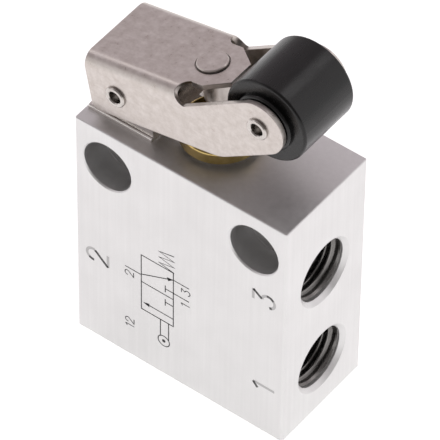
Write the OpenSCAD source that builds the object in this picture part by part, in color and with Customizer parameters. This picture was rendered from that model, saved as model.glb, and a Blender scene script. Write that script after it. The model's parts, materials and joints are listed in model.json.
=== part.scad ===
// Roller lever air valve, three ports and two positions, normally closed.
// Millimetres, +Z up. The origin is the centre of the block's bottom face.
// The marked face is at -Y, ports 1 and 3 open at +X and port 2 at -X.

/* [Block] */
// Width of the block
body_w = 36; // [35:0.5:40]
// Depth of the block
body_d = 18; // [17.5:0.5:21]
// Height of the block
body_h = 42; // [41:0.5:46]
// Rounding of the block's upright edges
edge_r = 0.4; // [0.3:0.1:1]
// Rounding of the block's top and bottom edges
rim_r = 0.2; // [0.15:0.05:0.4]

/* [Ports] */
// Major diameter of the port thread
port_d = 9.73; // [9:0.01:10]
// Depth of the port thread
port_depth = 8.5; // [7:0.1:9]
// Width of the chamfer at a port's mouth
port_chamfer = 0.65; // [0.3:0.05:0.7]
// Bore from a port's end to the middle of the block
port_drill_d = 4.4; // [3:0.1:5]
// Height of the supply port above the bottom face
port_1_z = 9.4; // [9:0.1:10]
// Height from one port to the next
port_pitch = 8.85; // [8.4:0.05:9.2]

/* [Mounting holes] */
// Distance between the two mounting holes
hole_spacing = 25; // [24:0.5:26]
// Depth of the hole axes below the top face
hole_drop = 6.5; // [6:0.1:7]
// Diameter of the through hole
hole_d = 4.3; // [3.2:0.1:4.5]
// Diameter of the counterbore
counterbore_d = 8.1; // [7:0.1:8.4]
// Depth of the counterbore
counterbore_depth = 4.6; // [4:0.1:5]

/* [Valve cartridge] */
// Diameter of the bore that holds the cages and seals
bore_d = 10; // [9.6:0.1:10.4]
// Diameter of the spool's lands
spool_d = 5.9; // [5.6:0.1:6.2]
// How far the spool reaches below the middle of port 1
spool_foot = 1.4; // [1.2:0.1:1.6]
// Diameter of the spool's waist
waist_d = 3.8; // [3:0.1:4.4]
// Travel of the plunger and spool
stroke = 2.4; // [2.2:0.1:2.6]
// Radial room between a cage and the spool
cage_room = 0.45; // [0.3:0.05:0.6]
// Number of radial holes in a cage
cage_hole_count = 6; // [4:1:8]
// Diameter of a cage's radial holes
cage_hole_d = 2.2; // [1.6:0.1:2.6]
// Depth of the ring groove around a cage
cage_groove = 0.5; // [0.3:0.05:0.7]

/* [Plunger and bush] */
// Diameter of the plunger's stem
stem_d = 3.5; // [3:0.1:4]
// Diameter of the plunger's collar
collar_d = 5.8; // [5.2:0.1:6.2]
// Height of the plunger's collar
collar_h = 1.6; // [1.2:0.1:2]
// Diameter of the bush's threaded shank
shank_d = 7; // [6.8:0.1:7.4]
// Diameter of the bush's flange
flange_d = 11.6; // [11:0.1:12]
// Height of the bush's flange
flange_h = 2; // [1.8:0.1:2.2]
// Outer diameter of the wiper ring in the flange
wiper_d = 6; // [5.4:0.1:6.6]
// Height of the wiper ring
wiper_h = 1; // [0.8:0.1:1.2]

/* [End plug and spring] */
// Diameter of the end plug
plug_d = 12; // [11.6:0.1:12.4]
// Thickness of the retaining ring
clip_t = 1; // [0.8:0.1:1.2]
// Height of the retaining ring above the bottom face
clip_z = 0.7; // [0.5:0.1:0.9]
// Thickness of the end plug's floor
plug_floor = 1; // [0.8:0.1:1.2]
// Section of the end plug's seal
plug_seal_section = 1.5; // [1.3:0.1:1.6]
// Diameter of the pocket in the spool's lower end
pocket_d = 4.3; // [4:0.1:4.5]
// Depth of the pocket in the spool's lower end
pocket_depth = 4; // [3.5:0.1:4.5]
// Wire of the return spring
spring_wire = 0.6; // [0.4:0.05:0.65]
// Turns of the return spring
spring_turns = 7; // [5:1:9]

/* [Lever] */
// Distance of the pivot from the block's middle
pivot_x = 12.3; // [11.5:0.1:13]
// Height of the pivot above the top face
pivot_rise = 5.9; // [5.6:0.1:6.4]
// Slope of the lever at rest, in degrees
rest_tilt = 11; // [10:0.5:12]
// Outer width of the lever
lever_w = 14.3; // [13.8:0.1:15]
// Sheet thickness of the lever and the bracket
sheet_t = 0.8; // [0.6:0.05:0.9]
// Outer bend radius of the lever
lever_bend_r = 2; // [1.6:0.1:2.1]
// Height of the lever's top face above the pivot
lever_top = 5.3; // [5:0.1:5.8]
// Depth of the lever's lower edge below the pivot
lever_bottom = 3.8; // [3:0.1:4]
// Length of the lever behind the pivot
lever_tail = 4.7; // [4.4:0.1:4.7]
// Rounding of the tail's lower corners
tail_r = 1; // [0.5:0.1:1.5]
// Distance from the pivot to the slot behind the tongue
slot_u = 10.65; // [10.3:0.05:10.9]
// Radius of the slot's rounded end
slot_r = 1.8; // [1.6:0.05:1.9]
// How far the slot lies towards the lever's top face from the middle of the bend
slot_lift = 0.16; // [0:0.02:0.2]
// Distance from the pivot to the tongue's tip
tongue_u = 16.9; // [16:0.1:17.2]
// Distance from the pivot to where the tongue's sides start to taper
shoulder_u = 13.8; // [13.4:0.1:14.4]
// Width of the tongue's tip
tongue_tip_w = 4.3; // [3:0.1:5]
// Distance from the pivot to the roller pin along the lever
roller_u = 25; // [24.6:0.1:25.2]
// Height of the roller pin over the pivot, square to the lever
roller_rise = 4.16; // [3.8:0.02:4.5]
// Kink of the arms, in degrees
arm_kink = 24; // [22:0.5:26]
// Half width of the arms, also their end radius
arm_r = 4.1; // [3.8:0.05:4.4]
// Rounding of the corner between the lever's and an arm's lower edge
arm_corner_r = 6; // [3:0.5:7]

/* [Roller and pins] */
// Diameter of the roller
roller_d = 13; // [12.4:0.1:13.4]
// Length of the roller's rim
roller_rim_l = 10.8; // [10:0.1:11.2]
// Rounding of the roller's rim
roller_rim_r = 0.4; // [0.3:0.05:0.8]
// Diameter of the roller's hub
hub_d = 8.9; // [8.4:0.1:10]
// Rounding of the hub's edge
hub_edge_r = 0.4; // [0.2:0.05:0.5]
// Gap from the roller's hub to an arm
hub_gap = 0.2; // [0.15:0.05:0.4]
// Diameter of the hollow pins
pin_d = 2.7; // [2.5:0.1:3]
// Diameter of a pin's rolled end
pin_end_d = 3.3; // [3.1:0.1:3.8]
// Height of a pin's rolled end
pin_end_h = 0.4; // [0.3:0.05:0.5]
// Diameter of the hole in a pin's end
pin_hole_d = 1.9; // [1.4:0.1:2]
// Depth of the hole in a pin's end
pin_hole_depth = 2; // [1.4:0.1:2.5]

/* [Contact stud] */
// Distance from the pivot to the stud
stud_u = 12.1; // [11.9:0.1:12.3]
// Diameter of the stud's riveted head
stud_head_d = 4.5; // [4:0.1:5]
// Height of the stud's riveted head
stud_head_h = 0.4; // [0.25:0.05:0.5]
// Width of the ring that riveting presses into the lever around the stud's head
stake_w = 0.2; // [0.1:0.05:0.3]
// Depth of that ring
stake_depth = 0.2; // [0.1:0.05:0.3]
// Diameter of the stud through the sheet
stud_neck_d = 3; // [2.4:0.1:3.4]
// Diameter of the stud's domed body
stud_d = 4; // [3.8:0.1:4.4]

/* [Bracket] */
// Outer width across the bracket's ears
bracket_w = 12.4; // [12:0.1:12.4]
// Length of the ears at their foot
ear_l = 9.7; // [9:0.1:10]
// Distance of the ears' front edge from the pivot
ear_front = 5.6; // [5:0.1:5.8]
// Height of the ears' upright front edge
ear_step = 2.6; // [2:0.1:3]
// Radius of the ears about the pivot
ear_r = 3.5; // [3:0.1:3.6]
// Inner bend radius of the bracket
bracket_bend_r = 0.4; // [0.2:0.1:0.6]
// Length of the bracket's foot plate
foot_l = 10.8; // [10:0.1:10.8]
// How far the foot plate stands out beside an ear
foot_rail = 0.4; // [0.2:0.05:0.45]
// Rounding of the foot plate's upper edges
foot_edge_r = 0.4; // [0.2:0.05:0.5]
// Width of the strap from the ears to the bush
strap_w = 8; // [7:0.1:9]

/* [Fits] */
// Radial clearance of a running fit
run_fit = 0.05; // [0.03:0.01:0.08]
// Radial clearance of a seated piece
seat_fit = 0.03; // [0.02:0.01:0.05]
// Gap between the stud and the plunger at rest
contact_gap = 0.08; // [0.05:0.01:0.12]

/* [Hidden] */
$fn = 64;
cut = 1;

// Port heights, and the stack of cages and seals between them
port_2_z = port_1_z + port_pitch;
port_3_z = port_2_z + port_pitch;
seal_section = (bore_d - spool_d) / 2 - run_fit - seat_fit;
seal_room = seal_section + 2 * seat_fit;
cage_h = port_pitch - seal_room;
cage_in_d = spool_d + 2 * cage_room;
bore_top_z = port_3_z + cage_h / 2 + seal_room;
plug_top_z = port_1_z - cage_h / 2;

// Spool: its lands cover or clear the seals at the two ends of the travel
spool_lap = (stroke - seal_room) / 2;
waist_low_z = port_2_z - cage_h / 2 + spool_lap;
waist_high_z = port_3_z - cage_h / 2 + spool_lap;
spool_top_z = bore_top_z + stroke * 0.3;
spool_low_z = port_1_z - spool_foot;

// Plug, retaining ring and spring below the spool
clip_groove = 0.5;
plug_low_z = clip_z + clip_t + seat_fit;
plug_cup_d = spool_d + 2 * cage_room;
plug_floor_z = plug_low_z + plug_floor;
plug_seal_z = (plug_floor_z + plug_top_z) / 2;
spring_low_z = plug_floor_z;
spring_high_z = spool_low_z + pocket_depth;
spring_r = pocket_d / 2 - 0.2 - spring_wire / 2;

// Plunger and bush: the collar stops under the bush at rest
collar_top_z = spool_top_z + collar_h;
bush_low_z = collar_top_z + 0.1;
flange_low_z = body_h + sheet_t;
flange_high_z = flange_low_z + flange_h;

// Lever frame: u runs along the lever's top face, w square to it, from the pivot
pivot_z = body_h + pivot_rise;
lever_in_w = lever_w - 2 * sheet_t;
bend_in_r = lever_bend_r - sheet_t;
slot_end_u = slot_u + slot_r;
lap = slot_r / 4;
tongue_root = lever_w / 2 - sqrt(2) * (slot_lift + slot_r) + lap / 4;
dome_r = stud_d / 2;
plunger_top_z = pivot_z + stud_u * sin(rest_tilt) - dome_r - contact_gap;
roller_l = lever_in_w - 2 * hub_gap;

// A rectangle with round corners, centred on the origin
module rounded_rectangle(w, h, r) {
    square([w - 2 * r, h], center = true);
    square([w, h - 2 * r], center = true);
    for (x = [-1, 1], y = [-1, 1])
        translate([x * (w / 2 - r), y * (h / 2 - r)]) circle(r);
}

// An O-ring on the valve's axis
module seal_ring(inner_d, section, z) {
    translate([0, 0, z])
        rotate_extrude()
            translate([inner_d / 2 + section / 2, 0]) circle(section / 2);
}

// A threaded port, cut from the +X side towards the middle
module port_cut() {
    drill_point = port_d / 4;
    rotate([0, 90, 0]) {
        translate([0, 0, body_w / 2 - port_depth]) cylinder(h = port_depth + cut, d = port_d);
        translate([0, 0, body_w / 2 - port_chamfer])
            cylinder(h = port_chamfer + seat_fit, d1 = port_d, d2 = port_d + 2 * (port_chamfer + seat_fit));
        translate([0, 0, body_w / 2 - port_depth - drill_point])
            cylinder(h = drill_point, d1 = port_drill_d, d2 = port_d);
        translate([0, 0, bore_d / 4])
            cylinder(h = body_w / 2 - port_depth - bore_d / 4, d = port_drill_d);
    }
}

// A counterbored mounting hole along Y
module mounting_hole() {
    mouth = 0.2;
    rotate([-90, 0, 0]) {
        translate([0, 0, -body_d / 2 - cut]) cylinder(h = body_d + 2 * cut, d = hole_d);
        translate([0, 0, -body_d / 2 - cut]) cylinder(h = counterbore_depth + cut, d = counterbore_d);
        translate([0, 0, -body_d / 2 - seat_fit])
            cylinder(h = mouth + seat_fit, d1 = counterbore_d + 2 * (mouth + seat_fit), d2 = counterbore_d);
    }
}

// Block with its rounded edges: three rounded profiles crossed
module block() {
    intersection() {
        linear_extrude(body_h) rounded_rectangle(body_w, body_d, edge_r);
        translate([0, body_d / 2, body_h / 2])
            rotate([90, 0, 0]) linear_extrude(body_d) rounded_rectangle(body_w, body_h, rim_r);
        translate([-body_w / 2, 0, body_h / 2])
            rotate([90, 0, 90]) linear_extrude(body_w) rounded_rectangle(body_d, body_h, rim_r);
    }
}

module body() {
    color("gainsboro")
        difference() {
            block();
            translate([0, 0, -cut]) cylinder(h = plug_top_z + cut, d = plug_d + 2 * seat_fit);
            translate([0, 0, clip_z]) cylinder(h = clip_t + seat_fit, d = plug_d + 2 * clip_groove);
            cylinder(h = bore_top_z, d = bore_d);
            cylinder(h = body_h + cut, d = shank_d);
            translate([0, 0, port_1_z]) port_cut();
            translate([0, 0, port_3_z]) port_cut();
            translate([0, 0, port_2_z]) mirror([1, 0, 0]) port_cut();
            for (side = [-1, 1])
                translate([side * hole_spacing / 2, 0, body_h - hole_drop]) mounting_hole();
        }
}

module guide_bush() {
    slot_w = 1.2;
    slot_depth = 0.7;
    edge = 0.5;
    bore_r = stem_d / 2 + run_fit;
    shank_r = shank_d / 2 - seat_fit;
    flange_r = flange_d / 2;
    wiper_seat_r = wiper_d / 2 + seat_fit;
    wiper_seat_z = flange_high_z - slot_depth - wiper_h;
    color("goldenrod")
        difference() {
            rotate_extrude() {
                translate([bore_r, bush_low_z]) square([shank_r - bore_r, flange_high_z - bush_low_z]);
                translate([bore_r, flange_low_z]) square([flange_r - bore_r, flange_h - edge]);
                translate([bore_r, flange_low_z]) square([flange_r - edge - bore_r, flange_h]);
                translate([flange_r - edge, flange_high_z - edge]) circle(edge);
            }
            translate([0, 0, wiper_seat_z])
                cylinder(h = flange_high_z - wiper_seat_z + cut, r = wiper_seat_r);
            translate([-flange_d, -slot_w / 2, flange_high_z - slot_depth])
                cube([2 * flange_d, slot_w, slot_depth + cut]);
        }
}

module stem_wiper() {
    lip = 0.3;
    slot_depth = 0.7;
    low_z = flange_high_z - slot_depth - wiper_h;
    inner_r = stem_d / 2 + run_fit;
    color("dimgray")
        rotate_extrude()
            polygon([
                [inner_r + lip, low_z], [wiper_d / 2, low_z],
                [wiper_d / 2, low_z + wiper_h - lip], [inner_r + lip, low_z + wiper_h],
                [inner_r, low_z + wiper_h], [inner_r, low_z + lip]
            ]);
}

// Outline of one ear, from the bracket's foot to the round about the pivot
module ear_outline() {
    back = ear_front - ear_l;
    difference() {
        union() {
            translate([-pivot_x, pivot_z]) circle(ear_r);
            polygon([
                [-pivot_x + back, body_h], [-pivot_x + ear_front, body_h],
                [-pivot_x + ear_front, body_h + ear_step],
                [-pivot_x + ear_r * sin(45), pivot_z + ear_r * cos(45)],
                [-pivot_x - ear_r * sin(80), pivot_z + ear_r * cos(80)]
            ]);
        }
        translate([-pivot_x, pivot_z]) circle(pin_d / 2 + run_fit);
    }
}

// The room between the bracket's ears, seen along X with y across and z up
module between_ears() {
    w = bracket_w - 2 * sheet_t;
    r = bracket_bend_r;
    low = body_h + sheet_t;
    room = pivot_rise + 2 * ear_r;
    translate([-w / 2 + r, low]) square([w - 2 * r, room]);
    translate([-w / 2, low + r]) square([w, room]);
    for (side = [-1, 1])
        translate([side * (w / 2 - r), low + r]) circle(r);
}

// Section of the foot plate with its rounded upper edges, seen along X
module foot_section() {
    half = bracket_w / 2 + foot_rail;
    r = foot_edge_r;
    translate([-half + r, body_h]) square([2 * (half - r), sheet_t]);
    translate([-half, body_h]) square([2 * half, sheet_t - r]);
    for (side = [-1, 1])
        translate([side * (half - r), body_h + sheet_t - r]) circle(r);
}

module lever_bracket() {
    eye_inset = 0.9;
    eye_r = flange_d / 2 - eye_inset;
    back_x = -pivot_x + ear_front - ear_l;
    front_x = -pivot_x + ear_front;
    color("silver")
        union() {
            intersection() {
                translate([back_x, 0, 0])
                    rotate([90, 0, 90])
                        linear_extrude(ear_l)
                            difference() {
                                translate([-bracket_w / 2, body_h]) square([bracket_w, pivot_rise + 2 * ear_r]);
                                between_ears();
                            }
                translate([0, bracket_w, 0])
                    rotate([90, 0, 0]) linear_extrude(2 * bracket_w) ear_outline();
            }
            translate([front_x - foot_l, 0, 0])
                rotate([90, 0, 90]) linear_extrude(foot_l) foot_section();
            difference() {
                translate([0, 0, body_h])
                    linear_extrude(sheet_t) {
                        translate([front_x - sheet_t, -strap_w / 2])
                            square([sheet_t - front_x, strap_w]);
                        circle(eye_r);
                    }
                translate([0, 0, body_h - cut])
                    cylinder(h = sheet_t + 2 * cut, d = shank_d + 2 * seat_fit);
            }
        }
}

// A cage: a ring with a groove round it and radial holes to the spool
module cage(z) {
    color("beige")
        difference() {
            translate([0, 0, z - cage_h / 2]) cylinder(h = cage_h, d = bore_d - 2 * seat_fit);
            translate([0, 0, z - cage_h / 2 - cut]) cylinder(h = cage_h + 2 * cut, d = cage_in_d);
            translate([0, 0, z])
                rotate_extrude()
                    translate([bore_d / 2 - cage_groove, -port_drill_d / 2])
                        square([cage_groove + cut, port_drill_d]);
            for (i = [0 : cage_hole_count - 1])
                translate([0, 0, z])
                    rotate([0, 90, i * 360 / cage_hole_count])
                        cylinder(h = bore_d, d = cage_hole_d);
        }
}

module upper_cage() {
    cage(port_3_z);
}

module middle_cage() {
    cage(port_2_z);
}

module lower_cage() {
    cage(port_1_z);
}

module spool_seal(z) {
    color("black") seal_ring(spool_d + 2 * run_fit, seal_section, z);
}

module top_seal() {
    spool_seal(port_3_z + cage_h / 2 + seal_room / 2);
}

module exhaust_seal() {
    spool_seal((port_3_z + port_2_z) / 2);
}

module supply_seal() {
    spool_seal((port_2_z + port_1_z) / 2);
}

module end_plug() {
    groove_half = plug_seal_section / 2 + seat_fit;
    edge = 0.4;
    plug_r = plug_d / 2;
    color("darkgray")
        difference() {
            rotate_extrude()
                polygon([
                    [0, plug_low_z], [plug_r - edge, plug_low_z], [plug_r, plug_low_z + edge],
                    [plug_r, plug_top_z - edge], [plug_r - edge, plug_top_z - seat_fit],
                    [0, plug_top_z - seat_fit]
                ]);
            translate([0, 0, plug_floor_z]) cylinder(h = plug_top_z, d = plug_cup_d);
            translate([0, 0, plug_seal_z])
                rotate_extrude()
                    translate([plug_r - plug_seal_section, -groove_half])
                        square([plug_seal_section + cut, 2 * groove_half]);
        }
}

module plug_seal() {
    color("black")
        seal_ring(plug_d - 2 * plug_seal_section + 2 * seat_fit, plug_seal_section - seat_fit, plug_seal_z);
}

// Internal retaining ring with two plier holes
module retaining_ring() {
    outer_r = plug_d / 2 + clip_groove - seat_fit;
    band = 1.5;
    gap_half = 1.1;
    lug_r = 1.15;
    hole_r = 0.5;
    lug_y = -(outer_r - band - lug_r * 0.4);
    color("slategray")
        translate([0, 0, clip_z])
            linear_extrude(clip_t)
                difference() {
                    union() {
                        difference() {
                            circle(outer_r);
                            circle(outer_r - band);
                            translate([-gap_half, -2 * outer_r]) square([2 * gap_half, 2 * outer_r]);
                        }
                        for (side = [-1, 1])
                            translate([side * (gap_half + lug_r), lug_y]) circle(lug_r);
                    }
                    for (side = [-1, 1])
                        translate([side * (gap_half + lug_r), lug_y]) circle(hole_r);
                }
}

// One sweep of a round wire along a helix, flattened at both ends
module return_spring() {
    sides = 8;
    steps = 16;
    rings = spring_turns * steps;
    wire_r = spring_wire / 2;
    low = spring_low_z + wire_r;
    rise = spring_high_z - spring_low_z - spring_wire;
    function ring_point(i, j) =
        let (angle = 360 * i / steps, around = 360 * j / sides, reach = spring_r + wire_r * cos(around))
        [reach * cos(angle), reach * sin(angle), low + rise * i / rings + wire_r * sin(around)];
    points = [for (i = [0 : rings], j = [0 : sides - 1]) ring_point(i, j)];
    first_cap = [for (j = [0 : sides - 1]) j];
    last_cap = [for (j = [sides - 1 : -1 : 0]) rings * sides + j];
    walls = [
        for (i = [0 : rings - 1], j = [0 : sides - 1])
            let (a = i * sides + j, b = i * sides + (j + 1) % sides)
            [a, a + sides, b + sides, b]
    ];
    color("gray")
        polyhedron(points = points, faces = concat([first_cap], walls, [last_cap]));
}

module plunger() {
    edge = 0.35;
    stem_r = stem_d / 2;
    color("lightgray")
        rotate_extrude()
            polygon([
                [0, spool_top_z], [collar_d / 2, spool_top_z], [collar_d / 2, collar_top_z],
                [stem_r, collar_top_z], [stem_r, plunger_top_z - edge],
                [stem_r - edge, plunger_top_z], [0, plunger_top_z]
            ]);
}

module spool() {
    lead = 0.3;
    land_r = spool_d / 2;
    waist_r = waist_d / 2;
    color("lightsteelblue")
        rotate_extrude()
            polygon([
                [pocket_d / 2, spool_low_z], [land_r - lead, spool_low_z], [land_r, spool_low_z + lead],
                [land_r, waist_low_z - lead], [land_r - lead, waist_low_z], [waist_r, waist_low_z],
                [waist_r, waist_high_z], [land_r - lead, waist_high_z], [land_r, waist_high_z + lead],
                [land_r, spool_top_z - lead], [land_r - lead, spool_top_z], [0, spool_top_z],
                [0, spool_low_z + pocket_depth], [pocket_d / 2, spool_low_z + pocket_depth]
            ]);
}

// Places a shape drawn in the lever's frame
module on_lever() {
    translate([-pivot_x, 0, pivot_z]) rotate([0, -rest_tilt, 0]) children();
}

// Extrudes a side view, drawn with u across and w up, through the lever's width
module across_lever(w) {
    translate([0, w / 2, 0]) rotate([90, 0, 0]) linear_extrude(w) children();
}

// The lever's U section, outer or inner, seen along u with y across and w up
module lever_section(w, r, top) {
    translate([-w / 2 + r, -lever_bottom - cut]) square([w - 2 * r, top + lever_bottom + cut]);
    translate([-w / 2, -lever_bottom - cut]) square([w, top - r + lever_bottom + cut]);
    for (side = [-1, 1])
        translate([side * (w / 2 - r), top - r]) circle(r);
}

// A point beside the arm's axis: along is from the roller pin, out is square to it
function arm_point(along, out) = [
    roller_u + along * cos(arm_kink) - out * sin(arm_kink),
    roller_rise + along * sin(arm_kink) + out * cos(arm_kink)
];

// Distance along the arm's axis at which its lower edge meets the lever's lower edge
arm_foot = -(lever_bottom + roller_rise - arm_r * cos(arm_kink)) / sin(arm_kink);

// Side view of a side plate, from the tail to the round end of the arm
module side_plate_outline() {
    foot = arm_point(arm_foot, -arm_r);
    reach = arm_corner_r * tan(arm_kink / 2);
    difference() {
        union() {
            translate([-lever_tail, -lever_bottom + tail_r])
                square([lever_tail + slot_end_u, lever_bottom + lever_top - tail_r]);
            translate([-lever_tail + tail_r, -lever_bottom])
                square([lever_tail - tail_r + slot_end_u, tail_r]);
            translate([-lever_tail + tail_r, -lever_bottom + tail_r]) circle(tail_r);
            polygon([
                [slot_end_u - lap, -lever_bottom], foot - [reach, 0],
                foot + reach * [cos(arm_kink), sin(arm_kink)],
                arm_point(0, -arm_r), arm_point(0, arm_r),
                [slot_end_u - lap, lever_top]
            ]);
            translate([roller_u, roller_rise]) circle(arm_r);
            translate(foot + [-reach, arm_corner_r]) circle(arm_corner_r);
        }
        circle(pin_d / 2 + seat_fit);
        translate([roller_u, roller_rise]) circle(pin_d / 2 + seat_fit);
    }
}

// Side view of the arms, which start just behind the slots' round ends
module arm_outline() {
    behind = (slot_end_u - lap - roller_u) / cos(arm_kink);
    difference() {
        side_plate_outline();
        polygon([
            arm_point(2 * arm_r, arm_r), arm_point(2 * arm_r, 4 * arm_r),
            arm_point(2 * behind, 4 * arm_r), arm_point(2 * behind, arm_r)
        ]);
        translate([slot_end_u - lap - 2 * roller_u, -roller_u]) square(2 * roller_u);
    }
}

// Plan of the tongue, with u across and y up
module tongue_outline() {
    tip = tongue_tip_w / 2;
    polygon([
        [slot_end_u - lap, -tongue_root], [shoulder_u, -tongue_root], [tongue_u, -tip],
        [tongue_u, tip], [shoulder_u, tongue_root], [slot_end_u - lap, tongue_root]
    ]);
}

// The round ends of the two slots, drilled square through the bends
module slot_ends() {
    depth = 2 * lever_bend_r;
    for (side = [-1, 1])
        translate([slot_end_u, side * (lever_w / 2 - lever_bend_r), lever_top - lever_bend_r])
            rotate([-side * 45, 0, 0])
                translate([0, -side * slot_lift, -depth]) cylinder(h = 2 * depth, r = slot_r);
}

// The ring pressed into the lever around the stud's head
module stake_ring() {
    head_r = stud_head_d / 2;
    translate([stud_u, 0, lever_top - stake_depth])
        difference() {
            cylinder(h = stake_depth + cut, r = head_r + stake_w);
            translate([0, 0, -cut]) cylinder(h = stake_depth + 3 * cut, r = head_r);
        }
}

module lever() {
    color("silver")
        on_lever()
            difference() {
                union() {
                    intersection() {
                        translate([-lever_tail, 0, 0])
                            rotate([90, 0, 90])
                                linear_extrude(lever_tail + slot_end_u)
                                    difference() {
                                        lever_section(lever_w, lever_bend_r, lever_top);
                                        lever_section(lever_in_w, bend_in_r, lever_top - sheet_t);
                                    }
                        difference() {
                            across_lever(2 * lever_w) side_plate_outline();
                            slot_ends();
                        }
                    }
                    for (side = [-1, 1])
                        translate([0, side * (lever_w - sheet_t) / 2, 0])
                            across_lever(sheet_t) arm_outline();
                    translate([0, 0, lever_top - sheet_t]) linear_extrude(sheet_t) tongue_outline();
                }
                translate([stud_u, 0, lever_top - sheet_t - cut])
                    cylinder(h = sheet_t + 2 * cut, d = stud_neck_d + 2 * seat_fit);
                stake_ring();
            }
}

module contact_stud() {
    edge = 0.15;
    head_r = stud_head_d / 2;
    head_top = lever_top + stud_head_h;
    under = lever_top - sheet_t;
    color("lightgray")
        on_lever()
            translate([stud_u, 0, 0])
                union() {
                    rotate_extrude()
                        polygon([
                            [0, 0], [dome_r, 0], [dome_r, under], [stud_neck_d / 2, under],
                            [stud_neck_d / 2, lever_top], [head_r, lever_top], [head_r, head_top - edge],
                            [head_r - edge, head_top], [0, head_top]
                        ]);
                    sphere(dome_r);
                }
}

// A hollow-ended pin across the lever, rolled over outside both side plates
module hollow_pin() {
    edge = 0.15;
    pin_r = pin_d / 2;
    end_r = pin_end_d / 2;
    face = lever_w / 2;
    tip = face + pin_end_h;
    hole_r = pin_hole_d / 2;
    floor_y = tip - pin_hole_depth;
    point_y = floor_y - hole_r * tan(30);
    color("lightgray")
        rotate([90, 0, 0])
            rotate_extrude()
                polygon([
                    [0, -point_y], [hole_r, -floor_y], [hole_r, -tip + edge],
                    [hole_r + edge, -tip], [end_r - edge, -tip],
                    [end_r, -tip + edge], [end_r, -face], [pin_r, -face],
                    [pin_r, face], [end_r, face], [end_r, tip - edge],
                    [end_r - edge, tip], [hole_r + edge, tip],
                    [hole_r, tip - edge], [hole_r, floor_y], [0, point_y]
                ]);
}

module pivot_pin() {
    on_lever() hollow_pin();
}

module roller_pin() {
    on_lever() translate([roller_u, 0, roller_rise]) hollow_pin();
}

// The half of the roller's section on one side, with radius across and length up
module roller_section() {
    rim_r_out = roller_d / 2;
    hub_r = hub_d / 2;
    half_rim = roller_rim_l / 2;
    half_hub = roller_l / 2;
    bore_r = pin_d / 2 + run_fit;
    translate([bore_r, 0]) square([rim_r_out - bore_r, half_rim - roller_rim_r]);
    translate([bore_r, 0]) square([rim_r_out - roller_rim_r - bore_r, half_rim]);
    translate([rim_r_out - roller_rim_r, half_rim - roller_rim_r]) circle(roller_rim_r);
    translate([bore_r, 0]) square([hub_r - bore_r, half_hub - hub_edge_r]);
    translate([bore_r, 0]) square([hub_r - hub_edge_r - bore_r, half_hub]);
    translate([hub_r - hub_edge_r, half_hub - hub_edge_r]) circle(hub_edge_r);
}

module roller() {
    color("black")
        on_lever()
            translate([roller_u, 0, roller_rise])
                for (side = [-90, 90])
                    rotate([side, 0, 0]) rotate_extrude() roller_section();
}

body();
guide_bush();
stem_wiper();
lever_bracket();
upper_cage();
middle_cage();
lower_cage();
top_seal();
exhaust_seal();
supply_seal();
end_plug();
plug_seal();
retaining_ring();
return_spring();
plunger();
spool();
lever();
contact_stud();
pivot_pin();
roller_pin();
roller();
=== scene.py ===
"""Roller lever air valve: finishes, marks, port threads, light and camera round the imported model."""
import json
import math

import bmesh
import bpy
from mathutils import Matrix, Vector


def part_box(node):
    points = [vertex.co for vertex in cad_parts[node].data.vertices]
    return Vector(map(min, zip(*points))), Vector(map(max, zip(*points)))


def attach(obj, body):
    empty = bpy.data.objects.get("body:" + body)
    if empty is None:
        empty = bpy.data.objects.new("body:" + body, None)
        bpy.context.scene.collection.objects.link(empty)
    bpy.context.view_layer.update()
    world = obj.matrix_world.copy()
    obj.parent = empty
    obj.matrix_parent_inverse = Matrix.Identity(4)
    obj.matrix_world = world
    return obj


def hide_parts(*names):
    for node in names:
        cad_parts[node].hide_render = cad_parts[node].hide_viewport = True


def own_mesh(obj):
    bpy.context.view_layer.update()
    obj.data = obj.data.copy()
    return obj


MM = 0.001

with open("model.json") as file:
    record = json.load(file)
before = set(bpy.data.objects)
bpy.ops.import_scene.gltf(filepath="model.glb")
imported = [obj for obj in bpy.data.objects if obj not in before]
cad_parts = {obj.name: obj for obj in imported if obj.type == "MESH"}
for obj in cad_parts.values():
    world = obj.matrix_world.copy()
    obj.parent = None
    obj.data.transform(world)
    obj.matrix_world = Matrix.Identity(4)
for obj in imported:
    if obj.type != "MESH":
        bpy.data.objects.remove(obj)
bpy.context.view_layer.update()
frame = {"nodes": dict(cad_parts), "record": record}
nodes = frame["nodes"]
mounts = {mount["name"]: mount for mount in frame["record"]["mounts"]}
face_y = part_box("body")[0].y / MM
scene = bpy.context.scene
scene.view_settings.view_transform = "Standard"

# Camera, from the photograph's perspective of the block's edges (degrees and mm; clip distances in metres)
CAMERA_AZIMUTH = 36.92
CAMERA_ELEVATION = 46.963
CAMERA_ROLL = -0.6816
CAMERA_DISTANCE = 712.13
CAMERA_AIM = (-1.356, 1.903, 23.181)
CAMERA_LENS = 422.86
SENSOR_WIDTH = 36.0
CLIP_START = 0.01
CLIP_END = 10.0

# Floor (size in metres) and studio: a brighter wall behind the object, a darker room in front of it, and the
# white floor carried on to the horizon. It fades into the room between the two sweep values, which are sines
# of the angle above the horizon.
FLOOR_SIZE = 0.7
FLOOR_COLOUR = (0.86, 0.86, 0.86, 1.0)
FLOOR_ROUGHNESS = 0.9
FLOOR_GLOW = 0.74
WHITE = (1.0, 1.0, 1.0, 1.0)
WALL_DIRECTION = (-0.65, 0.76, 0.0)
WALL_COLOUR = (0.58, 0.525, 0.55, 1.0)
ROOM_COLOUR = (0.235, 0.22, 0.22, 1.0)
ROOM_EDGE = -0.6
WALL_EDGE = 0.7
SWEEP_LOW = 0.045
SWEEP_HIGH = 0.09

# Soft square lamps: name, place and size in metres, and power in watts
LAMPS = (
    ("left_lamp", (-0.5, 0.08, 0.54), 0.2, 0.12),
    ("front_lamp", (-0.48, -0.48, 0.22), 0.38, 0.24),
    ("back_lamp", (0.24, 0.5, 0.72), 0.3, 0.34),
    ("right_lamp", (0.62, 0.4, 0.38), 0.58, 0.7),
)
LAMP_AIM = (0.0, 0.0, 0.03)

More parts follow.
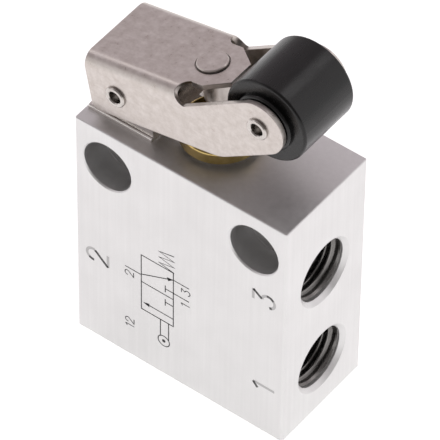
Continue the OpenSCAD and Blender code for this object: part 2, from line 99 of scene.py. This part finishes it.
# Rounding that the shading gives to cut edges (mm)
SHEET_EDGE = 0.14
PIN_EDGE = 0.1
BLOCK_EDGE = 0.12

# Rays that feel for edges and corners, and how much the roughness of sheet varies
EDGE_SAMPLES = 6
CORNER_SAMPLES = 8
SHEET_ROUGHNESS_SPAN = 0.16

# Whitworth pipe thread in the ports (mm); start, run-in and run-out are in turns
THREAD_PITCH = 0.907
THREAD_DEPTH = 0.5807
THREAD_STEPS = 96
THREAD_POINTS = 9
THREAD_LEAD = 0.1
THREAD_START = 0.62
THREAD_RUN_IN = 0.5
THREAD_RUN_OUT = 1.0
THREAD_SINK = 0.02

# Return spring (mm): its wire, the turns in all, and the room left at its top
SPRING_WIRE = 0.6
SPRING_TURNS = 7
SPRING_STEPS = 32
SPRING_SIDES = 12
SPRING_ROOM = 0.05

# Marks on the front face (mm)
PRINT_LINE = 0.16
PRINT_THICK = 0.012
PRINT_SINK = 0.02
LABEL_HEIGHT = 1.5
LABEL_LINE = 0.14
DIGIT_HEIGHT = 3.65
DIGIT_LINE = 0.45
# Painted shade of the stamped strokes: full on strokes in shade, a quarter on lit ones
SHADED_STROKE = 1.0
LIT_STROKE = 0.25
ARC_STEP = 12.0
MITRE_LIMIT = 0.4
PORT_NUMBERS = (("2", (-14.3, 16.54)), ("3", (14.42, 27.05)), ("1", (14.67, 9.43)))
SYMBOL_LABELS = (
    ("2", (-8.71, 16.83)),
    ("1", (-8.69, 6.2)),
    ("2", (-8.69, 7.2)),
    ("3", (1.12, 19.45)),
    ("1", (1.05, 16.86)),
)


def blend(tree, share, first, second):
    """A colour between two colours, each given as a value or as a node's output."""
    mix = tree.nodes.new("ShaderNodeMix")
    mix.data_type = "RGBA"
    sockets = {socket.identifier: socket for socket in mix.inputs}
    tree.links.new(share, sockets["Factor_Float"])
    for name, colour in (("A_Color", first), ("B_Color", second)):
        if isinstance(colour, tuple):
            sockets[name].default_value = colour
        else:
            tree.links.new(colour, sockets[name])
    return next(socket for socket in mix.outputs if socket.identifier == "Result_Color")


def remap(tree, value, floor, ceiling, low=0.0, high=1.0, curve="LINEAR"):
    """Maps value from floor to ceiling onto low to high, and holds it there outside that range."""
    ranged = tree.nodes.new("ShaderNodeMapRange")
    ranged.interpolation_type = curve
    ranged.inputs["From Min"].default_value = floor
    ranged.inputs["From Max"].default_value = ceiling
    ranged.inputs["To Min"].default_value = low
    ranged.inputs["To Max"].default_value = high
    tree.links.new(value, ranged.inputs["Value"])
    return ranged.outputs["Result"]


def combine(tree, operation, first, second):
    """A sum, product or the like of two node outputs."""
    made = tree.nodes.new("ShaderNodeMath")
    made.operation = operation
    tree.links.new(first, made.inputs[0])
    tree.links.new(second, made.inputs[1])
    return made.outputs["Value"]


class Finish:
    """A material with short ways to add procedural detail. Sizes are millimetres on the object."""

    def __init__(self, name, **constants):
        self.material = bpy.data.materials.new(name)
        self.material.use_nodes = True
        self.tree = self.material.node_tree
        self.shader = self.tree.nodes["Principled BSDF"]
        self.coordinates = self.tree.nodes.new("ShaderNodeTexCoord")
        self.base = None
        self.normal = None
        for socket, value in constants.items():
            self.shader.inputs[socket.replace("_", " ")].default_value = value

    def node(self, kind, **settings):
        made = self.tree.nodes.new(kind)
        for setting, value in settings.items():
            setattr(made, setting, value)
        return made

    def link(self, output, socket):
        self.tree.links.new(output, socket)

    def place(self, size):
        """Object coordinates measured in steps of size, one size or one for each axis."""
        mapping = self.node("ShaderNodeMapping")
        steps = size if isinstance(size, tuple) else (size, size, size)
        mapping.inputs["Scale"].default_value = [1.0 / (step * MM) for step in steps]
        self.link(self.coordinates.outputs["Object"], mapping.inputs["Vector"])
        return mapping.outputs["Vector"]

    def noise(self, size, detail=3.0, roughness=0.55):
        texture = self.node("ShaderNodeTexNoise")
        texture.inputs["Scale"].default_value = 1.0
        texture.inputs["Detail"].default_value = detail
        texture.inputs["Roughness"].default_value = roughness
        self.link(self.place(size), texture.inputs["Vector"])
        return texture.outputs["Fac"]

    def spread(self, value, low, high, floor=0.3, ceiling=0.7):
        """Maps value from floor to ceiling, by default most of a noise's range, onto low to high."""
        return remap(self.tree, value, floor, ceiling, low, high)

    def multiply(self, first, second):
        return combine(self.tree, "MULTIPLY", first, second)

    def colour(self, value, dark, light):
        """Base colour between two colours, by a value from 0 to 1."""
        self.base = blend(self.tree, value, (*dark, 1.0), (*light, 1.0))
        self.link(self.base, self.shader.inputs["Base Color"])

    def corners(self, reach, dark, own=False):
        """Paints shade into the base colour in holes and corners, darker the nearer other surfaces stand.

        Own leaves out what stands near but is another piece.
        """
        hollow = self.node("ShaderNodeAmbientOcclusion", samples=CORNER_SAMPLES, only_local=own)
        hollow.inputs["Distance"].default_value = reach * MM
        share = self.spread(hollow.outputs["AO"], dark, 1.0, floor=0.15, ceiling=0.85)
        shaded = self.node("ShaderNodeVectorMath", operation="SCALE")
        self.link(self.base, shaded.inputs["Vector"])
        self.link(share, shaded.inputs["Scale"])
        self.link(shaded.outputs["Vector"], self.shader.inputs["Base Color"])

    def edges(self, radius):
        """Shades sharp edges as if they were broken by this radius."""
        bevel = self.node("ShaderNodeBevel", samples=EDGE_SAMPLES)
        bevel.inputs["Radius"].default_value = radius * MM
        self.normal = bevel.outputs["Normal"]
        self.link(self.normal, self.shader.inputs["Normal"])

    def layer(self, name):
        """A number that the mesh holds for each face."""
        return self.node("ShaderNodeAttribute", attribute_name=name).outputs["Fac"]

    def rough(self, value):
        self.link(value, self.shader.inputs["Roughness"])

    def relief(self, value, depth):
        """Adds a bump of the given depth on top of the edges and bumps added before."""
        bump = self.node("ShaderNodeBump")
        bump.inputs["Strength"].default_value = 1.0
        bump.inputs["Distance"].default_value = depth * MM
        self.link(value, bump.inputs["Height"])
        if self.normal is not None:
            self.link(self.normal, bump.inputs["Normal"])
        self.normal = bump.outputs["Normal"]
        self.link(self.normal, self.shader.inputs["Normal"])


def anodised_aluminium():
    """Drawn bar, satin anodised: faint streaks along its length, fine grain and soft clouding."""
    finish = Finish("anodised_aluminium", Metallic=1.0)
    streaks = finish.noise((0.7, 0.7, 30.0), detail=3.0)
    grain = finish.noise(0.08, detail=2.0)
    clouds = finish.noise(5.0)
    finish.colour(finish.spread(streaks, 0.0, 1.0), (0.775, 0.77, 0.765), (0.83, 0.825, 0.82))
    # Painted shade in the bores, counterbores and ports of the block
    finish.corners(7.0, 0.62, own=True)
    finish.rough(finish.spread(finish.multiply(streaks, clouds), 0.46, 0.56, floor=0.15, ceiling=0.4))
    finish.edges(BLOCK_EDGE)
    finish.relief(streaks, 0.0008)
    finish.relief(grain, 0.0012)
    return finish.material


def thread_aluminium():
    """Cut thread. Its dark colour and the darkening in its hollows are painted shade of the deep port."""
    finish = Finish("cut_aluminium", Metallic=1.0)
    marks = finish.noise((0.15, 0.5, 0.5), detail=3.0)
    # Painted shade: the thread's colour is kept dark
    finish.colour(finish.spread(marks, 0.0, 1.0), (0.21, 0.203, 0.196), (0.3, 0.29, 0.28))
    finish.corners(4.0, 0.32)
    finish.rough(finish.spread(marks, 0.24, 0.38))
    finish.relief(marks, 0.003)
    return finish.material


def sheet_steel(name, reach, dark, dull, shade, tint):
    """Stamped stainless sheet, tumbled: clouded, with a fine matte grain and a few rolling streaks.

    Reach and dark say how much shade is painted into its corners, dull is its least roughness,
    and shade and tint are its darker and lighter colour.
    """
    finish = Finish(name, Metallic=1.0)
    clouds = finish.noise(1.2, detail=6.0, roughness=0.68)
    streaks = finish.noise((9.0, 0.35, 0.35), detail=3.0)
    grain = finish.noise(0.1, detail=2.0)
    mottle = finish.multiply(clouds, finish.spread(streaks, 0.92, 1.08))
    finish.colour(finish.spread(mottle, 0.0, 1.0), shade, tint)
    # Painted shade in the sheet's corners and hollows
    finish.corners(reach, dark, own=True)
    finish.rough(finish.spread(mottle, dull, dull + SHEET_ROUGHNESS_SPAN))
    finish.edges(SHEET_EDGE)
    finish.relief(clouds, 0.006)
    finish.relief(grain, 0.003)
    return finish.material


def turned_steel():
    """Free-cutting steel, turned and lightly polished."""
    finish = Finish("turned_steel", Metallic=1.0)
    clouds = finish.noise(0.8)
    scratches = finish.noise((0.05, 1.5, 0.05))
    finish.colour(finish.spread(clouds, 0.0, 1.0), (0.52, 0.485, 0.455), (0.66, 0.625, 0.595))
    # Painted shade in the hollow pin ends and round their heads
    finish.corners(1.5, 0.3)
    finish.rough(finish.spread(scratches, 0.14, 0.28))
    finish.edges(PIN_EDGE)
    finish.relief(scratches, 0.003)
    return finish.material


def brass():
    """Turned brass, slightly dulled."""
    finish = Finish("turned_brass", Metallic=1.0)
    clouds = finish.noise(1.4, detail=4.0)
    turning = finish.noise((3.0, 3.0, 0.08))
    finish.colour(finish.spread(clouds, 0.0, 1.0), (0.46, 0.33, 0.115), (0.63, 0.485, 0.205))
    # Painted shade low on the bush, beside the block's top and under the lever
    finish.corners(3.0, 0.35)
    finish.rough(finish.spread(clouds, 0.1, 0.2))
    finish.relief(turning, 0.003)
    return finish.material


def roller_plastic():
    """Black moulded roller: satin, with fine grain and a few dull scuffs on the rim."""
    finish = Finish("black_acetal", Metallic=0.0, Specular_IOR_Level=0.42)
    scuffs = finish.noise((0.9, 2.4, 0.9), detail=5.0)
    grain = finish.noise(0.14, detail=2.0)
    finish.colour(finish.spread(scuffs, 0.0, 1.0), (0.004, 0.004, 0.004), (0.008, 0.0076, 0.0076))
    finish.rough(finish.spread(scuffs, 0.2, 0.32))
    finish.relief(grain, 0.0015)
    return finish.material


def rubber():
    """Black nitrile rubber, matte."""
    finish = Finish("black_rubber", Metallic=0.0)
    bloom = finish.noise(0.7, detail=4.0)
    finish.colour(finish.spread(bloom, 0.0, 1.0), (0.012, 0.012, 0.012), (0.024, 0.024, 0.024))
    finish.rough(finish.spread(bloom, 0.55, 0.75))
    finish.relief(bloom, 0.004)
    return finish.material


def cage_plastic():
    """Natural acetal of the cages."""
    finish = Finish("natural_acetal", Metallic=0.0)
    clouds = finish.noise(1.2, detail=3.0)
    finish.colour(finish.spread(clouds, 0.0, 1.0), (0.62, 0.6, 0.55), (0.7, 0.68, 0.63))
    finish.rough(finish.spread(clouds, 0.38, 0.5))
    finish.relief(clouds, 0.003)
    return finish.material


def spring_steel():
    """Phosphated spring steel, dark grey."""
    finish = Finish("spring_steel", Metallic=1.0)
    clouds = finish.noise(0.5, detail=4.0)
    finish.colour(finish.spread(clouds, 0.0, 1.0), (0.1, 0.1, 0.1), (0.19, 0.185, 0.18))
    finish.rough(finish.spread(clouds, 0.32, 0.48))
    finish.relief(clouds, 0.003)
    return finish.material


def plug_aluminium():
    """Turned, uncoated aluminium of the end plug and the spool."""
    finish = Finish("turned_aluminium", Metallic=1.0)
    turning = finish.noise((2.5, 2.5, 0.07))
    finish.colour(finish.spread(turning, 0.0, 1.0), (0.66, 0.66, 0.66), (0.78, 0.78, 0.78))
    finish.rough(finish.spread(turning, 0.26, 0.38))
    finish.relief(turning, 0.003)
    return finish.material


def print_ink():
    """Black printing ink, a little uneven."""
    finish = Finish("print_ink", Metallic=0.0)
    cover = finish.noise(0.5, detail=4.0)
    finish.colour(finish.spread(cover, 0.0, 1.0), (0.012, 0.012, 0.014), (0.04, 0.04, 0.045))
    finish.rough(finish.spread(cover, 0.45, 0.6))
    finish.relief(cover, 0.002)
    return finish.material


def groove_shade():
    """Stamped numbers with their shade painted: dark on strokes whose groove walls lie in shade, lighter on
    lit ones, with random wear.
    """
    finish = Finish("stamped_groove", Metallic=1.0)
    wear = finish.noise(0.5, detail=4.0)
    # The depth layer holds each stroke's painted shade, not a real depth
    depth = finish.multiply(finish.layer("depth"), finish.spread(wear, 1.1, 0.75))
    finish.colour(depth, (0.64, 0.635, 0.63), (0.06, 0.06, 0.06))
    finish.rough(finish.spread(wear, 0.4, 0.55))
    finish.relief(wear, 0.004)
    return finish.material


def dress(names, material):
    """Gives CAD nodes their finish."""
    for name in names:
        nodes[name].data.materials.clear()
        nodes[name].data.materials.append(material)


def dress_nodes(spring_finish):
    """Gives every CAD node but the return spring, which the coil replaces, its finish."""
    dress(("body",), anodised_aluminium())
    dress(("guide_bush",), brass())
    # The lever's long corner reach paints shade inside its channel, between its arms and round the stud
    lever_steel = sheet_steel(
        "stamped_stainless",
        reach=12.0,
        dark=0.2,
        dull=0.26,
        shade=(0.53, 0.48, 0.442),
        tint=(0.725, 0.675, 0.643),
    )
    # The bracket takes a lighter copy of the lever's stainless: a painted highlight that brightens its edge
    # strip
    bracket_steel = sheet_steel(
        "bracket_stainless",
        reach=0.4,
        dark=0.9,
        dull=0.08,
        shade=(0.74, 0.7, 0.66),
        tint=(0.86, 0.82, 0.79),
    )
    dress(("lever", "contact_stud"), lever_steel)
    dress(("lever_bracket",), bracket_steel)
    dress(("pivot_pin", "roller_pin", "plunger"), turned_steel())
    dress(("roller",), roller_plastic())
    dress(("stem_wiper", "top_seal", "exhaust_seal", "supply_seal", "plug_seal"), rubber())
    dress(("upper_cage", "middle_cage", "lower_cage"), cage_plastic())
    dress(("retaining_ring",), spring_finish)
    dress(("end_plug", "spool"), plug_aluminium())


def add_piece(name, mesh_maker, material, body):
    """A new mesh piece that rides on a body and takes the given finish."""
    mesh = bpy.data.meshes.new(name)
    mesh_maker.to_mesh(mesh)
    mesh_maker.free()
    mesh.materials.append(material)
    piece = bpy.data.objects.new(name, mesh)
    scene.collection.objects.link(piece)
    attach(piece, body)
    return piece


def join_rings(mesh, rings):
    """Closes a row of rings of points into one smooth solid."""
    for before, after in zip(rings, rings[1:]):
        for side in range(len(before)):
            other = (side + 1) % len(before)
            wall = mesh.faces.new((before[side], after[side], after[other], before[other]))
            wall.smooth = True
    mesh.faces.new(rings[0])
    mesh.faces.new(reversed(rings[-1]))
    bmesh.ops.recalc_face_normals(mesh, faces=mesh.faces)


def port_thread(mount_name, material):
    """The helical thread of one port, along its mount's axis, as one closed ridge."""
    mount = mounts[mount_name]
    axis = Vector(mount["axis"])
    middle = Vector(mount["pos_m"])
    radius = mount["dims"]["r_mm"]
    length = mount["dims"]["length_mm"]
    across = Vector((0.0, 1.0, 0.0))
    up = axis.cross(across)
    mouth = length / 2.0
    half_pitch = THREAD_PITCH / 2.0
    first = half_pitch - mouth
    turns = (mouth - THREAD_LEAD - half_pitch - first) / THREAD_PITCH
    base = radius + THREAD_SINK
    ridge = bmesh.new()
    rings = []
    for step in range(int(turns * THREAD_STEPS)):
        turn = step / THREAD_STEPS
        rise = THREAD_DEPTH * min(1.0, turn / THREAD_RUN_IN, (turns - turn) / THREAD_RUN_OUT)
        along = first + turn * THREAD_PITCH
        section = [(base, along + half_pitch), (base, along - half_pitch)]
        for point in range(THREAD_POINTS):
            share = 2.0 * point / (THREAD_POINTS - 1) - 1.0
            height = rise * (1.0 + math.cos(math.pi * share)) / 2.0
            section.append((radius - height, along + share * half_pitch))
        angle = 2.0 * math.pi * (turn + THREAD_START)
        outward = across * math.cos(angle) + up * math.sin(angle)
        rings.append([ridge.verts.new(middle + (outward * r + axis * a) * MM) for r, a in section])
    join_rings(ridge, rings)
    add_piece("thread_" + mount_name, ridge, material, "housing")


def return_spring(material):
    """A round wire coil with a closed turn at each end."""
    low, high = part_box("return_spring")
    wire = SPRING_WIRE * MM
    reach = high.x - wire / 2.0
    span = high.z - low.z - wire - SPRING_ROOM * MM
    open_turns = SPRING_TURNS - 2.0
    last_turn = SPRING_TURNS - 1.0
    pitch = (span - 2.0 * wire) / open_turns
    coil = bmesh.new()
    rings = []
    for step in range(SPRING_TURNS * SPRING_STEPS + 1):
        turn = step / SPRING_STEPS
        closed = min(turn, 1.0) + max(turn - last_turn, 0.0)
        opened = min(max(turn - 1.0, 0.0), open_turns)
        rise = wire * closed + pitch * opened
        angle = 2.0 * math.pi * turn
        outward = Vector((math.cos(angle), math.sin(angle), 0.0))
        centre = outward * reach + Vector((0.0, 0.0, low.z + wire / 2.0 + rise))
        ring = []
        for side in range(SPRING_SIDES):
            around = 2.0 * math.pi * side / SPRING_SIDES
            offset = outward * math.cos(around) + Vector((0.0, 0.0, math.sin(around)))
            ring.append(coil.verts.new(centre + offset * wire / 2.0))
        rings.append(ring)
    join_rings(coil, rings)
    piece = add_piece("return_spring_coil", coil, material, "housing")
    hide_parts("return_spring")
    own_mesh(piece)


def arc(centre, radius, start, stop):
    """Points along an arc, in degrees anticlockwise."""
    count = max(2, int(abs(stop - start) / ARC_STEP) + 1)
    angles = [math.radians(start + (stop - start) * i / (count - 1)) for i in range(count)]
    return [(centre[0] + radius * math.cos(a), centre[1] + radius * math.sin(a)) for a in angles]


# Strokes of the numerals, on a height of 1 with the foot at 0, each with how much painted shade it takes
BOWL = 0.29
UPPER_BOWL = (0.3, 0.72)
LOWER_BOWL = (0.26, 0.3)
NUMERALS = {
    "1": (0.5, [
        (SHADED_STROKE, [(0.0, 0.79), (0.25, 1.0)]),
        (LIT_STROKE, [(0.25, 1.0), (0.25, 0.0)]),
    ]),
    "2": (0.63, [
        (SHADED_STROKE, arc(UPPER_BOWL, BOWL, 190.0, 140.0)),
        (LIT_STROKE, arc(UPPER_BOWL, BOWL, 140.0, -20.0)),
        (SHADED_STROKE, [(0.57, 0.62), (0.0, 0.0)]),
        (LIT_STROKE, [(0.0, 0.0), (0.63, 0.0)]),
    ]),
    "3": (0.57, [
        (LIT_STROKE, [(0.04, 1.0), (0.56, 1.0)]),
        (SHADED_STROKE, [(0.56, 1.0), (0.26, 0.6)]),
        (LIT_STROKE, arc(LOWER_BOWL, BOWL, 90.0, 15.0)),
        (SHADED_STROKE, arc(LOWER_BOWL, BOWL, 15.0, -55.0)),
        (LIT_STROKE, arc(LOWER_BOWL, BOWL, -55.0, -145.0)),
        (SHADED_STROKE, arc(LOWER_BOWL, BOWL, -145.0, -170.0)),
    ]),
}


def new_marks():
    """An empty mesh whose faces hold how much painted shade each mark takes."""
    mesh = bmesh.new()
    mesh.faces.layers.float.new("depth")
    return mesh


def prism(mesh, outline, depth=SHADED_STROKE):
    """A thin raised patch on the front face with the given outline of x and z, anticlockwise."""
    low = [mesh.verts.new(Vector((x, face_y + PRINT_SINK, z)) * MM) for x, z in outline]
    high = [mesh.verts.new(Vector((x, face_y - PRINT_THICK, z)) * MM) for x, z in outline]
    top = mesh.faces.new(high)
    top[mesh.faces.layers.float["depth"]] = depth
    mesh.faces.new(reversed(low))
    for i in range(len(outline)):
        j = (i + 1) % len(outline)
        mesh.faces.new((low[i], low[j], high[j], high[i]))


def ribbon(mesh, points, width, depth=SHADED_STROKE):
    """A line of the given width through the points, mitred at its corners."""
    path = [Vector(point) for point in points]
    left = []
    right = []
    for i, here in enumerate(path):
        back = (here - path[max(i - 1, 0)]).normalized()
        ahead = (path[min(i + 1, len(path) - 1)] - here).normalized()
        back = back if i else ahead
        ahead = ahead if i < len(path) - 1 else back
        along = (back + ahead).normalized()
        reach = width / 2.0 / max(along.dot(ahead), MITRE_LIMIT)
        side = Vector((-along.y, along.x)) * reach
        left.append(here + side)
        right.append(here - side)
    prism(mesh, right + left[::-1], depth)


def numeral(mesh, digit, centre, height, line):
    """A numeral turned a quarter anticlockwise, so that its top points along -X."""
    width, strokes = NUMERALS[digit]
    for depth, stroke in strokes:
        turned = []
        for across, up in stroke:
            x = centre[0] - (up - 0.5) * height
            z = centre[1] + (across - width / 2.0) * height
            turned.append((x, z))
        ribbon(mesh, turned, line, depth)


def stamped_numbers():
    """Plain port numbers beside the ports."""
    mesh = new_marks()
    for digit, centre in PORT_NUMBERS:
        numeral(mesh, digit, centre, DIGIT_HEIGHT, DIGIT_LINE)
    add_piece("port_numbers", mesh, groove_shade(), "housing")


def arrow_head(mesh, tip, direction, length=1.1, width=0.7):
    """A filled arrow head that ends at tip."""
    along = Vector(direction).normalized()
    side = Vector((-along.y, along.x)) * (width / 2.0)
    base = Vector(tip) - along * length
    prism(mesh, [Vector(tip), base + side, base - side])


def function_symbol():
    """The standard sign for a three port, two position valve with roller and spring, lying on its side."""
    mesh = new_marks()
    left = -6.62
    right = -1.03
    bottom = 11.0
    divider = 16.55
    top = 21.95
    port_2_end = -9.46
    port_2_z = 17.9
    port_out = 1.7
    port_1_z = 17.85
    port_3_z = 20.53
    rest_flow_z = 18.04
    stop_x = -2.44
    rest_bar = (17.14, 18.5)
    pressed_bar = (14.4, 15.7)
    pressed_stop_z = 15.1
    pressed_flow_z = 12.5
    arrow_gap = 0.3
    roller_centre = (-2.69, 6.88)
    roller_radius = 1.0
    axle_radius = 0.3
    lines = [
        [(left, bottom), (right, bottom), (right, top), (left, top), (left, bottom), (right, bottom)],
        [(left, divider), (right, divider)],
        [(port_2_end, port_2_z), (left, port_2_z)],
        [(left, rest_flow_z), (right, port_3_z)],
        [(right, port_3_z), (port_out, port_3_z)],
        [(stop_x, port_1_z), (port_out, port_1_z)],
        [(stop_x, pressed_stop_z), (right, pressed_stop_z)],
        [(right, pressed_flow_z), (left + 2.0 * arrow_gap, pressed_flow_z)],
        arc(roller_centre, roller_radius, 0.0, 360.0),
    ]
    for low, high in (rest_bar, pressed_bar):
        lines.append([(stop_x, low), (stop_x, high)])
    for stem_x, stem_foot in ((-3.28, 7.75), (-1.85, 7.45)):
        lines.append([(stem_x, bottom), (stem_x, stem_foot)])
    spring_x = (-0.9, -3.5)
    spring_end = 25.3
    swings = 6
    rise = (spring_end - top) / swings
    lines.append([(spring_x[i % 2], top + rise * i) for i in range(swings + 1)])
    for line in lines:
        ribbon(mesh, line, PRINT_LINE)
    arrow_head(mesh, (right, port_3_z), (right - left, port_3_z - rest_flow_z))
    arrow_head(mesh, (left + arrow_gap, pressed_flow_z), (-1.0, 0.0))
    prism(mesh, arc(roller_centre, axle_radius, 0.0, 330.0))
    for digit, centre in SYMBOL_LABELS:
        numeral(mesh, digit, centre, LABEL_HEIGHT, LABEL_LINE)
    add_piece("function_symbol", mesh, print_ink(), "housing")


def camera_rays(tree):
    """One for rays that the camera, a mirror or glass sends out, else nought."""
    path = tree.nodes.new("ShaderNodeLightPath")
    total = path.outputs["Is Camera Ray"]
    for name in ("Is Glossy Ray", "Is Transmission Ray"):
        total = combine(tree, "MAXIMUM", total, path.outputs[name])
    return total


def floor():
    """A plain white floor that keeps a soft shadow of the object."""
    bpy.ops.mesh.primitive_plane_add(size=FLOOR_SIZE)
    plane = bpy.context.object
    plane.name = "floor"
    material = bpy.data.materials.new("floor_white")
    material.use_nodes = True
    tree = material.node_tree
    diffuse = tree.nodes["Principled BSDF"]
    diffuse.inputs["Base Color"].default_value = FLOOR_COLOUR
    diffuse.inputs["Roughness"].default_value = FLOOR_ROUGHNESS
    glow = tree.nodes.new("ShaderNodeEmission")
    glow.inputs["Color"].default_value = WHITE
    tree.links.new(remap(tree, camera_rays(tree), 0.0, 1.0, 0.0, FLOOR_GLOW), glow.inputs["Strength"])
    both = tree.nodes.new("ShaderNodeAddShader")
    tree.links.new(diffuse.outputs["BSDF"], both.inputs[0])
    tree.links.new(glow.outputs["Emission"], both.inputs[1])
    tree.links.new(both.outputs["Shader"], tree.nodes["Material Output"].inputs["Surface"])
    plane.data.materials.append(material)


def studio():
    """A room with a brighter wall behind the object. The white floor goes on to the horizon."""
    world = bpy.data.worlds.new("studio")
    scene.world = world
    world.use_nodes = True
    tree = world.node_tree
    direction = tree.nodes.new("ShaderNodeTexCoord")
    facing = tree.nodes.new("ShaderNodeVectorMath")
    facing.operation = "DOT_PRODUCT"
    facing.inputs[1].default_value = WALL_DIRECTION
    tree.links.new(direction.outputs["Generated"], facing.inputs[0])
    share = remap(tree, facing.outputs["Value"], ROOM_EDGE, WALL_EDGE, curve="SMOOTHSTEP")
    room = blend(tree, share, ROOM_COLOUR, WALL_COLOUR)
    height = tree.nodes.new("ShaderNodeSeparateXYZ")
    tree.links.new(direction.outputs["Generated"], height.inputs["Vector"])
    sweep = remap(tree, height.outputs["Z"], SWEEP_HIGH, SWEEP_LOW)
    white = combine(tree, "MULTIPLY", sweep, camera_rays(tree))
    backdrop = tree.nodes["Background"]
    tree.links.new(blend(tree, white, room, WHITE), backdrop.inputs["Color"])
    backdrop.inputs["Strength"].default_value = 1.0


def lamps():
    """Square area lamps, all aimed at the middle of the object."""
    for name, place, size, power in LAMPS:
        data = bpy.data.lights.new(name, "AREA")
        data.size = size
        data.energy = power
        lamp = bpy.data.objects.new(name, data)
        scene.collection.objects.link(lamp)
        lamp.location = place
        lamp.rotation_euler = (Vector(LAMP_AIM) - Vector(place)).to_track_quat("-Z", "Y").to_euler()


def camera():
    """The photograph's camera: a long lens, looking down over the right front corner."""
    azimuth = math.radians(CAMERA_AZIMUTH)
    elevation = math.radians(CAMERA_ELEVATION)
    roll = math.radians(CAMERA_ROLL)
    forward = Vector((
        -math.sin(azimuth) * math.cos(elevation),
        math.cos(azimuth) * math.cos(elevation),
        -math.sin(elevation),
    ))
    level_right = Vector((math.cos(azimuth), math.sin(azimuth), 0.0))
    level_down = forward.cross(level_right)
    right = level_right * math.cos(roll) + level_down * math.sin(roll)
    up = right.cross(forward)
    data = bpy.data.cameras.new("camera")
    data.sensor_width = SENSOR_WIDTH
    data.lens = CAMERA_LENS
    data.clip_start = CLIP_START
    data.clip_end = CLIP_END
    view = bpy.data.objects.new("camera", data)
    scene.collection.objects.link(view)
    turn = Matrix((right, up, -forward)).transposed()
    place = (Vector(CAMERA_AIM) - forward * CAMERA_DISTANCE) * MM
    view.matrix_world = Matrix.Translation(place) @ turn.to_4x4()
    scene.camera = view


camera()
studio()
floor()
lamps()
spring_finish = spring_steel()
thread_finish = thread_aluminium()
dress_nodes(spring_finish)
for port in ("port_1", "port_2", "port_3"):
    port_thread(port, thread_finish)
return_spring(spring_finish)
stamped_numbers()
function_symbol()
